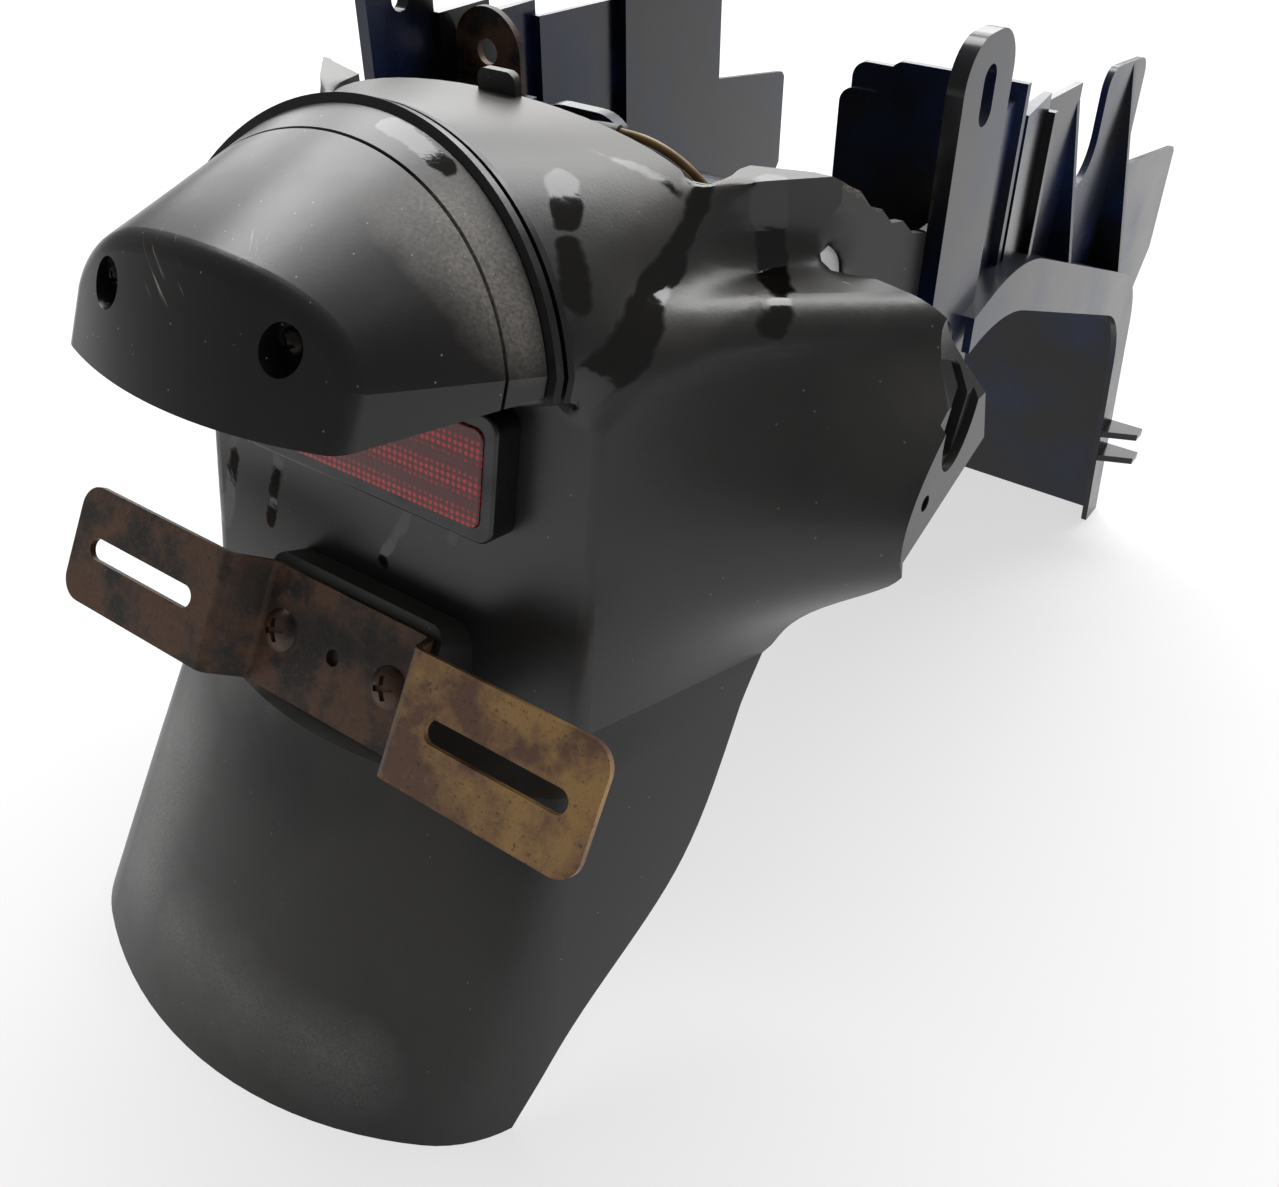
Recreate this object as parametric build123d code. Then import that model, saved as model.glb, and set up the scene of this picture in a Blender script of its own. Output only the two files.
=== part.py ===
# Rear fender of a road motorcycle: a moulded tail with a number-plate lamp, a reflector and a plate
# bracket, and the inner fender that carries it over the wheel.
# Millimetres. X to the right, Y forward, Z up from the surface that the fender rests on.
# Places along Y count from the plate line, the middle of the bracket's face, and the export shifts them.
from build123d import *
import math
import os

# Walls and fits
wall = 2.5                  # both mouldings
fit = 0.3                   # clearance of a piece beside a moulded wall
reach = 400                 # longer than any cut needs to be

# Tail tongue: an arch in plan that leans back towards its bottom edge
tongue_reach = 63           # bottom edge behind the plate line
tongue_arch = 145           # plan radius
tongue_half = 90            # corner of the arch at the bottom, from the middle
tongue_corner = 42
tongue_side_x = 98
tongue_side_y = 28
ledge = 90                  # height of the step under the bracket
ledge_y = -1
ledge_half = 77
ledge_corner = 10
ledge_side_x = 96
ledge_side_y = 84

# Flat rear panel
panel_base = 104
panel_base_y = 29.9
panel_lean = 11             # degrees from upright, top forward
panel_half = 74
panel_top_half = 71
panel_corner = 6
panel_crown = 0.5           # how far the panel bulges in the middle

# Indicator bosses
boss_face = 136             # outer faces from the middle
boss_end = 5                # wall of the outer faces
boss_tip = 155              # lowest point of the face
boss_tip_y = 90
boss_lean = 22              # degrees, rear edge of the face
boss_front = 171            # front corner of the face
boss_front_y = 135
boss_top = 209
boss_top_y = 122
boss_root_x = 97            # side wall below the boss
boss_root_y = 94
shelf = 217                 # top of the boss beside the upper wall
shelf_x = 88
shelf_roll = 12             # rounding from the rear wall to the shelf
socket_y = 115.5            # recess for the indicator's foot
socket_z = 187
socket_wide = 18
socket_tall = 31
socket_deep = 2
slot_wide = 9
slot_tall = 24
slot_corner = 1.5
pin_hole = 4.5
pin_y = 99
pin_z = 168.5

# Upper walls beside the top opening
valley_x = 69
valley_y = 96
peak_x = 93
peak_y = 121
upper_top = 238
upper_base = 172
upper_end_y = 152
lap_y = 174                 # how far the upper walls run inside the arms
upper_end_top = 216
flange_y = 114              # inner corner of the flat on top
cove = 12                   # hollow rounding at the foot of an upper wall
cove_end = 3                # the same beside the lamp
cove_start_y = 66
tear_pitch = 4              # broken edge on the right
tear_deep = 3

# Snout and lamp seat
seat_y = 39
seat_base = 203
seat_lean = 21.2            # degrees from upright, top forward
seat_half = 67
seat_rise = 54
seat_straight = 6           # upright part of the arch
seat_foot = 6               # how far the snout runs below the lamp
snout_front_y = 97
snout_half = 71
snout_top = 249
snout_straight = 26
hook_x = 3                  # raised tab at the front edge of the snout
hook_wide = 13
hook_rise = 6
hook_corner = 3

# Free edge of the side walls, from the tongue's bottom corner to the boss
edge_start_y = -26
edge_low_y = 2
edge_low = 19
edge_mid_y = 50
edge_mid = 47
edge_high_y = 86
edge_high = 96
edge_root_y = 98
edge_root = 112

# Plate bracket, folded from steel strip
plate_lean = 32             # degrees from upright, top forward
plate_height = 117          # middle of the wings
plate_wide = 207
plate_tall = 37.4
plate_steel = 2
plate_step = 13             # wings stand back from the middle
plate_bend = 37             # where the wings begin
plate_foot = 31             # where the middle ends
plate_corner = 7.5
plate_slot = 48
plate_slot_wide = 7
plate_slot_x = 71.2         # middle of a slot
plate_bolt_x = 22.2
plate_hole = 6.4
plate_sight_hole = 5
pad_half = 34
pad_tall = 40
pad_corner = 5
pad_lift = 2                # above the middle of the bracket
pad_taper = 8

# Screws and nuts
screw = 6                   # bracket screws
screw_head = 13
screw_rise = 3.2
screw_long = 14
nut_flats = 10
nut_tall = 5
washer_wide = 16
washer_thick = 1.6
small_screw = 4             # lamp cover screws
small_head = 7.6
small_rise = 2.8
small_long = 18
joint_screw = 5             # screws through the arms
joint_head = 11
joint_rise = 2.6
joint_y = 163
joint_z = 181

# Reflector
reflector_wide = 95
reflector_tall = 36
reflector_deep = 9
reflector_base = 155
reflector_lip = 4
reflector_corner = 5
lens_thick = 2.4
lens_proud = 0.6            # above the housing
lens_edge = 0.5
stud = 5
stud_long = 16

# Lamp
gasket_wide = 7             # along the lamp's axis
gasket_lip = 2              # how far the lips stand out
gasket_wall = 6
gasket_foot = 4
rim = 206.5                 # lower edge of the cover
cover_wall = 2.2
cover_half = 66.5           # front edge of the cover
cover_rise = 53.5
cover_rear_y = -22          # rear edge of the rim
cover_rear_half = 44
cover_rear_straight = 15
cover_rear_tall = 36
cover_rear_lean = 26
cover_bow = 150             # radius of the rear face across
cover_roll = 8
cover_line = 9              # fine groove round the cover, behind its front edge
cover_line_wide = 0.8
cover_screw_x = 29.8
cover_screw_z = 225
cover_well = 11             # wells round the screws
cover_well_deep = 5
cover_well_floor = 3.4
base_thick = 3
post = 9
window = 2.5                # clear window in the rim
bulb = 15
bulb_long = 24
bulb_cap = 11
holder = 22
holder_long = 20
lamp_stud_x = 24
lamp_stud_v = 14
lead_hole = 14

# Lamp leads
lead = 2.4
sleeve = 6.5
connector = 5
connector_long = 20
flange = 2                  # of the grommet

# Inner fender
deck_half = 113
deck_rear_half = 88
deck_rear_y = 112
deck_rear = 168
deck_neck_y = 176           # where the deck widens
deck_crown_y = 210
deck_crown = 192
deck_drop_y = 360
deck_drop = 132
deck_foot_y = 392
deck_crown_round = 70
deck_drop_round = 45
skirt = 14
near_wall_x = 106.5         # outer faces of the side walls
near_zigzag = 3
far_wall_x = 99.5
jog_y = 236                 # where the side walls step inwards
arm_x = 109
arm_thick = 5
arm_rear_y = 152
arm_front_y = 184
arm_top = 265
arm_base = 165
arm_slot = 16
arm_slot_wide = 8
arm_slot_y = 168
arm_slot_z = 249
near_rear_top = 238
near_top = 233
far_rear_top = 228
far_top = 225
far_front_top = 219
notch_y = 293               # U-shaped cut-out in the right wall
notch_wide = 30
notch_base = 186
finger_end_y = 350
low_top = 178
front_end = 425
front_top = 166
front_base = 120
bulkhead_y = 205            # cross walls
bulkhead_x = 47
bulkhead_top = 243
bulkhead_notch = 16
shelf_step = 10
low_bulkhead_y = 188
low_bulkhead_x = 64
low_bulkhead_top = 214
pillar_y = 283              # thick upright of the left wall
pillar_end_y = 356
pillar_top = 240
pillar_thick = 7
gusset = 28
loop_x = 12                 # wire loop on the deck
loop_y = 118
loop_wide = 34
loop_top = 241
loop_bar = 4
lug_z = 38                  # small lugs at the front foot
lug_long = 14
lug_thick = 3

# Steel tab on the left
tab_wide = 30
tab_steel = 2.5
tab_hole = 9
tab_x = -86
tab_hole_z = 226
tab_base = 192
rivet = 4.8
rivet_head = 9
rivet_rise = 1.5
rivet_z = 203
rivet_x = 8                 # from the middle of the tab

upper_end_x = arm_x - arm_thick
shift_y = (tongue_reach - front_end) / 2


def mix(a, b, t):
    return a + (b - a) * t


def panel_y(z):
    return panel_base_y + (z - panel_base) * math.tan(math.radians(panel_lean))


def leaning(y, z, lean):
    """Plane across the fender that faces rearwards and leans forward at the top; its y axis points up it."""
    tilt = math.radians(lean)
    return Plane((0, y, z), x_dir=(1, 0, 0), z_dir=(0, -math.cos(tilt), math.sin(tilt)))


seat = leaning(seat_y, seat_base, seat_lean)
plate = leaning(0, plate_height, plate_lean)
panel = leaning(panel_base_y, panel_base, panel_lean)


def both(part):
    """The part and its mirror image on the left."""
    return part + mirror(part, about=Plane.YZ)


def across(outline):
    """A side outline, drawn as (y, z), carried right across the fender."""
    return extrude(Plane.YZ * outline, reach, both=True)


def closed(*points):
    return make_face(Polyline(*points, close=True))


# Rear fender: outer form and inner form come from the same functions, a wall apart

def level(z, half, rear, sag, corner, end_x, end_y, inset):
    """Plan of the tail at one height: arched rear, slanting sides, straight front."""
    front = boss_front_y + wall
    with BuildSketch(Plane.XY.offset(z)) as plan:
        with BuildLine():
            ThreePointArc((-half, rear), (0, rear - sag), (half, rear))
            Polyline((half, rear), (end_x, end_y), (end_x, front),
                     (-end_x, front), (-end_x, end_y), (-half, rear))
        make_face()
        fillet(plan.vertices().sort_by(Axis.Y)[:2], corner)
        if inset:
            offset(amount=-inset, mode=Mode.REPLACE, kind=Kind.INTERSECTION)
    return plan.sketch.face()


def tongue_levels(inset):
    for t in (0, 0.5, 1):
        half = mix(tongue_half, ledge_half, t)
        sag = tongue_arch - math.sqrt(tongue_arch**2 - half**2)
        rear = mix(-tongue_reach, ledge_y, t) + sag
        corner = mix(tongue_corner, ledge_corner, t)
        side = mix(tongue_side_x, ledge_side_x, t), mix(tongue_side_y, ledge_side_y, t)
        yield level(mix(0, ledge, t), half, rear, sag, corner, *side, inset)


def panel_levels(inset):
    lean = math.tan(math.radians(boss_lean))
    far_x = boss_face + wall
    root = panel_base, boss_root_x, boss_root_y
    swell = mix(panel_base, boss_tip, 0.3), mix(boss_root_x, far_x, 0.2), mix(boss_root_y, boss_tip_y, 0.1)
    flare = mix(panel_base, boss_tip, 0.65), mix(boss_root_x, far_x, 0.65), mix(boss_root_y, boss_tip_y, 0.4)
    tip = boss_tip, far_x + wall, boss_tip_y + wall
    brow = boss_tip + 2 * shelf_roll, far_x + wall, boss_tip_y + wall + 2 * shelf_roll * lean
    top = shelf + wall, far_x + wall, boss_tip_y + wall + (shelf + wall - boss_tip) * lean
    for z, x, y in (root, swell, flare, tip, brow, top):
        half = mix(panel_half, panel_top_half, (z - panel_base) / (shelf - panel_base))
        yield level(z, half, panel_y(z), panel_crown, panel_corner, x, y, inset)


def tail(inset):
    tongue = list(tongue_levels(inset))
    upper = list(panel_levels(inset))
    body = Part() + [loft(tongue), loft([tongue[-1], upper[0]], ruled=True), loft(upper)]
    end = boss_face - inset * boss_end / wall
    roof = closed((-end, -1), (-end, boss_top - inset), (-shelf_x, shelf - inset), (shelf_x, shelf - inset),
                  (end, boss_top - inset), (end, -1))
    body = body & extrude(Plane.XZ * roof, reach, both=True)
    front = boss_front_y - inset
    brow = mix(boss_front_y, boss_top_y, 2) - inset
    body = body & across(closed((-reach, -1), (-reach, reach), (brow, reach),
                                (brow, mix(boss_front, boss_top, 2)), (front, boss_front), (front, -1)))
    rolls = body.edges().filter_by(lambda e: e.center().Z > boss_top - wall)
    rolls = rolls.filter_by(lambda e: abs(e.center().X) > panel_half)
    rolls = rolls.filter_by(lambda e: e.geom_type != GeomType.LINE and e.length > shelf_roll)
    rolls = rolls.filter_by(lambda e: e.center().Y < (valley_y + boss_top_y) / 2)
    return fillet(rolls, shelf_roll - inset)


def upper_walls(inset):
    half = [(valley_x, valley_y), (peak_x, peak_y), (upper_end_x, upper_end_y), (upper_end_x, lap_y)]
    left = [(-x, y) for x, y in reversed(half)]
    outline = closed(*half, *left)
    if inset:
        outline = offset(outline, -inset, kind=Kind.INTERSECTION)
    return extrude(Pos(0, 0, upper_base) * outline, upper_top + 20 * inset - upper_base)


def arch(half, straight, rise, foot, inset):
    """Arched outline on a straight base, with its feet below the base line."""
    side = half - inset
    with BuildSketch() as outline:
        with BuildLine():
            Polyline((-side, straight), (-side, -foot), (side, -foot), (side, straight))
            EllipticalCenterArc((0, straight), side, rise - straight - inset, start_angle=0, arc_size=180)
        make_face()
    return outline.sketch


def hood(half, straight, rise, foot, inset):
    """Flatter arch of the lamp's seat: one arc between upright sides."""
    side = half - inset
    with BuildSketch() as outline:
        with BuildLine():
            Polyline((-side, straight), (-side, -foot), (side, -foot), (side, straight))
            ThreePointArc((side, straight), (0, rise - inset), (-side, straight))
        make_face()
    return outline.sketch


def snout(inset):
    rear = seat.offset(-inset) * hood(seat_half, seat_straight, seat_rise, seat_foot - inset, inset)
    mouth = leaning(snout_front_y + 2 * inset, seat_base, 0)
    front = mouth * arch(snout_half, snout_straight, snout_top - seat_base, seat_foot - inset, inset)
    return loft([rear.face(), front.face()])


def cove_section(radius, inset):
    """Corner between a wall and the shelf, rounded out to a radius."""
    low = 2 * wall
    middle = (radius - low) / 2
    corner = Pos(middle, middle) * Rectangle(radius + low, radius + low)
    return corner - Pos(radius, radius) * Circle(radius + inset)


def wall_cove(inset):
    """Rounding between the shelf and the right upper wall."""
    slope = (shelf - boss_top) / (boss_face - shelf_x)
    foot = Vector(valley_x, valley_y, shelf)
    end = Vector(peak_x, peak_y, shelf - slope * cove)
    along = end - foot
    start = Plane(foot - along.normalized() * wall, x_dir=(along.Y, -along.X, 0), z_dir=-along)
    return extrude(start * cove_section(cove, inset), -along.length - wall)


def snout_cove():
    """Rounding between the shelf and the right side of the snout, widening forwards."""
    rear = Plane((seat_half, cove_start_y, shelf), x_dir=(1, 0, 0), z_dir=(0, -1, 0))
    front = Plane((snout_half, snout_front_y, shelf), x_dir=(1, 0, 0), z_dir=(0, -1, 0))
    return loft([(rear * cove_section(cove_end, 0)).face(), (front * cove_section(cove, 0)).face()])


def free_edge():
    """Everything below and in front of the side walls' free edge."""
    with BuildSketch(Plane.YZ) as below:
        with BuildLine():
            Spline((edge_start_y, -1), (edge_low_y, edge_low), (edge_mid_y, edge_mid),
                   (edge_high_y, edge_high), (edge_root_y, edge_root))
            Polyline((edge_root_y, edge_root), (boss_tip_y, boss_tip), (boss_front_y, boss_front),
                     (reach, boss_front), (reach, -1), (edge_start_y, -1))
        make_face()
    return extrude(below.sketch, reach, both=True)


def front_opening():
    """The way through to the inner fender, between the upper walls and the bosses."""
    side = [(peak_x - wall, peak_y), (upper_end_x - wall, upper_end_y), (upper_end_x - wall, reach)]
    left = [(-x, y) for x, y in reversed(side)]
    return extrude(closed(*side, *left), reach)


def sloping_ends():
    """What the falling top edge of the upper walls leaves out."""
    return across(closed((peak_y, upper_top), (upper_end_y, upper_end_top), (reach, upper_end_top),
                         (reach, reach), (peak_y, reach)))


def top_flange():
    """Three-cornered flat on top of each upper wall."""
    corner = closed((valley_x - wall, valley_y), (valley_x + 1, flange_y), (peak_x - 1, peak_y),
                    (valley_x, valley_y))
    return both(extrude(Pos(0, 0, upper_top) * corner, -wall))


def torn_corner():
    """Broken edge of the right upper wall, just below the edge of the left one."""
    fall = (upper_top - upper_end_top) / (upper_end_y - peak_y)
    bites = (0, 0.5, 0.3, 1, 0.6, 1.2, 0.4, 0.9, 0.2)
    edge = []
    for step, bite in enumerate(bites):
        y = peak_y - tear_pitch / 2 + step * tear_pitch
        edge.append((y, upper_top - max(y - peak_y, 0) * fall - bite * tear_deep))
    tip = closed((edge[0][0], upper_top + wall), *edge, (edge[-1][0], upper_top + wall))
    return extrude(Plane.YZ.offset((valley_x + peak_x) / 2) * tip, reach)


def boss_socket():
    """Recess, slot and pin hole for the indicator's foot, on the right."""
    face = Plane((boss_face, 0, 0), x_dir=(0, 1, 0), z_dir=(1, 0, 0))
    spot = Pos(socket_y, socket_z) * Rot(0, 0, -boss_lean)
    recess = extrude(face * spot * Ellipse(socket_wide / 2, socket_tall / 2), -socket_deep)
    opening = extrude(face * spot * RectangleRounded(slot_wide, slot_tall, slot_corner), -4 * boss_end)
    pin = extrude(face * Pos(pin_y, pin_z) * Circle(pin_hole / 2), -4 * boss_end)
    return recess + opening + pin


def bracket_pad():
    """Raised seat behind the middle of the bracket."""
    back = plate.offset(-plate_step - plate_steel)
    outline = RectangleRounded(2 * pad_half, pad_tall, pad_corner)
    inside = Rectangle(2 * (pad_half - wall), pad_tall - 2 * wall)
    block = extrude(back * Pos(0, pad_lift) * outline, -reach / 8, taper=-pad_taper)
    hollow = extrude(back.offset(-wall) * Pos(0, pad_lift) * inside, -reach / 8)
    room = across(closed((ledge_y - reach, 0), (panel_y(panel_base) + wall / 2, panel_base),
                         (panel_y(shelf), shelf), (ledge_y - reach, shelf)))
    return block & room, hollow


def rear_fender():
    shell = tail(0) + upper_walls(0) + snout(0) + both(wall_cove(0)) + both(snout_cove())
    shell = shell - (tail(wall) + upper_walls(wall) + snout(wall) + both(wall_cove(wall)))
    shell = shell - front_opening() - free_edge() - sloping_ends()
    pad, hollow = bracket_pad()
    shell = shell + top_flange() + pad - hollow
    shell = shell - both(boss_socket()) - torn_corner()
    tab = Pos(hook_x, 0) * RectangleRounded(hook_wide, 2 * hook_rise, hook_corner)
    shell = shell + extrude(leaning(snout_front_y, snout_top, 0) * tab, wall)
    for x in (-plate_bolt_x, plate_bolt_x):
        shell = shell - plate * Pos(x, 0, -plate_step) * Cylinder(plate_hole / 2, reach / 4)
    shell = shell - both(sideways(arm_x) * rod(joint_screw / 2 + fit, 0, 2 * arm_thick))
    shell = shell - panel * Pos(0, reflector_mid()) * Cylinder(stud / 2 + fit, reach / 8)
    for x in (-lamp_stud_x, lamp_stud_x):
        shell = shell - seat * Pos(x, lamp_stud_v) * Cylinder(stud / 2 + fit, reach / 16)
    return shell - seat * Pos(0, seat_rise / 2) * Cylinder(lead_hole / 2, reach / 16)


def reflector_mid():
    """Middle of the reflector, up the panel from its base line."""
    return (reflector_base - panel_base) / math.cos(math.radians(panel_lean)) + reflector_tall / 2


# Plate bracket and its fasteners, in the plane of the bracket

def plate_bracket():
    fold = Plane(plate.origin, x_dir=plate.x_dir, z_dir=plate.y_dir)
    near = plate_steel / 2
    deep = plate_step + plate_steel / 2
    end = plate_wide / 2
    with BuildSketch(fold) as strip:
        with BuildLine() as path:
            FilletPolyline((-end, near), (-plate_bend, near), (-plate_foot, deep), (plate_foot, deep),
                           (plate_bend, near), (end, near), radius=1.5 * plate_steel)
        trace(path.line, plate_steel)
    bracket = extrude(strip.sketch, plate_tall / 2, both=True)
    outline = RectangleRounded(plate_wide, plate_tall, plate_corner)
    for x in (-plate_slot_x, plate_slot_x):
        outline -= Pos(x, 0) * SlotOverall(plate_slot, plate_slot_wide)
    for x in (-plate_bolt_x, plate_bolt_x):
        outline -= Pos(x, 0) * Circle(plate_hole / 2)
    outline -= Circle(plate_sight_hole / 2)
    return bracket & extrude(plate * outline, reach / 8, both=True)


def cross_recess(wide, deep):
    """Cross drive, cut down from the top of a head at the origin."""
    bar = Box(wide, wide / 4, 2 * deep)
    return bar + Rot(0, 0, 90) * bar


def truss_screw(size, head, rise, length):
    """Domed head on the XY plane, shank down."""
    dome = (head**2 / 4 + rise**2) / (2 * rise)
    cap = Pos(0, 0, rise - dome) * Sphere(dome) & Pos(0, 0, rise) * Box(head, head, 2 * rise)
    body = cap + Pos(0, 0, -length / 2) * Cylinder(size / 2, length)
    return body - Pos(0, 0, rise) * Rot(0, 0, 20) * cross_recess(0.55 * head, 0.55 * rise)


def nut(size, flats, tall):
    """Hexagon nut standing on the XY plane."""
    body = extrude(RegularPolygon(flats / math.sqrt(3), 6), tall)
    return body - Cylinder(size / 2, 4 * tall)


def washer(size, wide, thick):
    return extrude(Circle(wide / 2) - Circle(size / 2), thick)


def at_bolts(piece, depth):
    """One copy at each bracket bolt, with its top facing rearwards."""
    spots = [Location(plate) * Pos(x, 0, -depth) for x in (-plate_bolt_x, plate_bolt_x)]
    return [spot * piece for spot in spots]


def plate_screws():
    return at_bolts(truss_screw(screw, screw_head, screw_rise, screw_long), plate_step)


def plate_washers():
    depth = plate_step + plate_steel + wall + washer_thick
    return at_bolts(washer(screw + fit, washer_wide, washer_thick), depth)


def plate_nuts():
    depth = plate_step + plate_steel + wall + washer_thick + nut_tall
    return at_bolts(nut(screw, nut_flats, nut_tall), depth)


# Reflector, on the flat panel

def reflector_spot(depth):
    return Location(panel) * Pos(0, reflector_mid(), panel_crown + depth)


def reflector_housing():
    body = extrude(RectangleRounded(reflector_wide, reflector_tall, reflector_corner), reflector_deep)
    body = fillet(body.edges().group_by(Axis.Z)[-1], 1)
    inner = RectangleRounded(reflector_wide - 2 * reflector_lip, reflector_tall - 2 * reflector_lip,
                             reflector_corner - reflector_lip / 2)
    body -= Pos(0, 0, reflector_deep - lens_thick) * extrude(inner, lens_thick)
    body += Pos(0, 0, -stud_long / 2) * Cylinder(stud / 2, stud_long)
    return reflector_spot(0) * body


def reflector_lens():
    wide = reflector_wide - 2 * reflector_lip - fit
    tall = reflector_tall - 2 * reflector_lip - fit
    face = RectangleRounded(wide, tall, reflector_corner - reflector_lip / 2)
    body = extrude(face, lens_thick + lens_proud)
    body = fillet(body.edges().group_by(Axis.Z)[-1], lens_edge)
    return reflector_spot(reflector_deep - lens_thick) * body


def reflector_nut():
    return reflector_spot(-panel_crown - wall - nut_tall) * nut(stud, nut_flats - 2, nut_tall)


# Lamp

def cover_form(inset, gap):
    """Outer form of the lamp cover, or its inside an inset smaller, ending a gap behind the gasket."""
    front = seat.offset(gasket_wide + gap)
    rear = leaning(cover_rear_y, rim, cover_rear_lean)
    deep = 2 * seat_foot
    mouth = front * hood(cover_half, seat_straight, cover_rise, deep, inset)
    nose = rear * arch(cover_rear_half, cover_rear_straight, cover_rear_tall, deep, inset)
    fold = Plane(rear.origin, x_dir=rear.x_dir, z_dir=rear.y_dir)
    form = loft([nose.face(), mouth.face()])
    form = form & extrude(fold * Pos(0, cover_bow) * Circle(cover_bow - inset), reach, both=True)
    form = form & Pos(0, 0, rim + reach / 2) * Box(reach, reach, reach)
    edges = form.edges().filter_by(lambda e: e.center().Y < cover_rear_y + cover_rear_tall / 2)
    edges = edges.filter_by(lambda e: e.center().Z > rim + 1)
    return fillet(edges, cover_roll - inset)


def along_y(x, y, z):
    """Spot whose top faces straight back."""
    return Location(Plane((x, y, z), x_dir=(1, 0, 0), z_dir=(0, -1, 0)))


def well_y():
    """Floor of the screw wells."""
    bow = cover_screw_x**2 / (2 * cover_bow)
    lean = math.tan(math.radians(cover_rear_lean))
    return cover_rear_y + bow + (cover_screw_z - rim) * lean + cover_well_deep


def cover_spots(y):
    return [along_y(x, y, cover_screw_z) for x in (-cover_screw_x, cover_screw_x)]


def rod(radius, back, ahead):
    """Round bar along Z that reaches back above the XY plane and ahead below it."""
    return Pos(0, 0, (back - ahead) / 2) * Cylinder(radius, back + ahead)


def lamp_cover():
    outer = cover_form(0, fit)
    ring = extrude(seat.offset(gasket_wide + cover_line) * Rectangle(reach, reach), cover_line_wide)
    cover = outer - cover_form(cover_wall, 0) - (ring & outer - cover_form(cover_line_wide, 0))
    for spot in cover_spots(well_y()):
        cover += spot * rod(cover_well / 2 + cover_wall, 2 * cover_well, cover_well_floor) & outer
    for spot in cover_spots(well_y()):
        cover -= spot * rod(cover_well / 2, 2 * cover_well, 0)
        cover -= spot * rod(small_screw / 2 + fit, cover_well, cover_well)
    return cover


def lamp_gasket():
    outer = hood(seat_half + gasket_lip, seat_straight, seat_rise + gasket_lip, 0, 0)
    waist = hood(seat_half, seat_straight, seat_rise, -gasket_lip, 0)
    inner = hood(seat_half - gasket_wall, seat_straight, seat_rise - gasket_wall, -gasket_foot, 0)
    ring = extrude(seat * (outer - inner), gasket_wide)
    groove = extrude(seat.offset(gasket_wide * 0.35) * (outer - waist), gasket_wide * 0.25)
    return ring - groove


def lamp_base():
    outline = hood(seat_half, seat_straight, seat_rise, -gasket_foot - fit, gasket_wall + fit)
    base = extrude(seat * outline, base_thick)
    behind = extrude(seat * Rectangle(reach, reach), reach)
    for spot in cover_spots(well_y() + cover_well_floor):
        base += spot * rod(post / 2, 0, reach / 4) & behind
    for spot in cover_spots(well_y()):
        base -= spot * rod(small_screw / 2, 0, small_long)
    for x in (-lamp_stud_x, lamp_stud_x):
        base += Location(seat) * Pos(x, lamp_stud_v) * rod(stud / 2, 0, stud_long)
    return base - Location(seat) * Pos(0, seat_rise / 2) * rod(lead_hole / 2, 2 * base_thick, 0)


def lamp_nuts():
    spots = [Location(seat) * Pos(x, lamp_stud_v, -wall - nut_tall) for x in (-lamp_stud_x, lamp_stud_x)]
    return [spot * nut(stud, nut_flats - 2, nut_tall) for spot in spots]


def cover_screws():
    piece = truss_screw(small_screw, small_head, small_rise, small_long)
    return [spot * piece for spot in cover_spots(well_y())]


def lamp_window():
    slab = Pos(0, 0, rim + window) * Box(reach, reach, window)
    behind = extrude(seat.offset(gasket_wide + fit) * Rectangle(reach, reach), reach)
    return cover_form(cover_wall, 0) & slab & behind


def holder_spot(y):
    return along_y(0, y, seat_base + seat_rise / 2 * math.cos(math.radians(seat_lean)))


def holder_end():
    return seat_y - holder_long / 2


def bulb_holder():
    behind = extrude(seat.offset(base_thick) * Rectangle(reach, reach), reach)
    bar = Pos(0, 0, -holder_long) * Cylinder(holder / 2, 2 * holder_long)
    body = holder_spot(holder_end()) * bar & behind
    neck = seat * Pos(0, seat_rise / 2, base_thick / 2) * Cylinder(lead_hole / 2 - fit, base_thick)
    return body + neck - holder_spot(holder_end()) * Cylinder(bulb_cap / 2, holder_long)


def lamp_bulb():
    glass = Pos(0, 0, bulb_long - bulb / 2 - holder_long / 2) * Sphere(bulb / 2)
    middle = bulb_long / 2 - holder_long / 2 - bulb / 4
    cap = Pos(0, 0, middle) * Cylinder(bulb_cap / 2 - fit, bulb_long - bulb / 2)
    return holder_spot(holder_end()) * (glass + cap)


# Lamp leads

sleeve_route = [(0, 48.8, 228.2), (0, 59, 224.2), (1, 70, 225.5), (3.5, 79.5, 230), (8, 88, 235.5),
                (15, 96, 240), (24.5, 102, 241.5), (35.5, 104.5, 241)]
lead_a_route = [(29.7, 104, 242.4), (38.4, 106, 242), (46.8, 107, 240.3), (54.2, 108.2, 236.5),
                (59.9, 110.4, 230.7), (63.4, 113.4, 223.3), (65.4, 117.2, 215.5), (66.2, 121.6, 207.9),
                (66, 126.8, 200.6), (65, 132.6, 194), (63.8, 139.2, 188.4), (63, 146.4, 184),
                (62.5, 154, 180.9)]
lead_b_route = [(29.7, 102.4, 240.2), (38.4, 104.4, 239.8), (46.8, 105.4, 238.1), (54.2, 106.6, 234.3),
                (59.7, 108.8, 228.5), (63, 111.8, 221.1), (64.6, 115.6, 213.3), (65, 120, 205.7),
                (64, 125.2, 198.6), (62.2, 131.4, 192.4), (59.8, 138.4, 187.2), (57.8, 146, 183.4),
                (57, 154, 180.9)]


def tube(points, wide):
    """Round bar along straight runs joined by the largest arcs that the runs allow."""
    radii = []
    for before, corner, after in zip(points, points[1:], points[2:]):
        back = Vector(*before) - Vector(*corner)
        ahead = Vector(*after) - Vector(*corner)
        turn = math.radians(180 - back.get_angle(ahead))
        radii.append(0.45 * min(back.length, ahead.length) / math.tan(turn / 2))
    path = FilletPolyline(*points, radius=radii)
    print("radii", [round(r) for r in radii], "length", round(path.length, 1))
    return sweep(Plane(path @ 0, z_dir=path % 0) * Circle(wide / 2), path=path)


def lamp_lead(route):
    return tube(route, lead)


def lead_sleeve():
    """Soft tube shrunk on the two leads, which start inside its end."""
    return tube(sleeve_route, sleeve) - lamp_lead(lead_a_route) - lamp_lead(lead_b_route)


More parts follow.
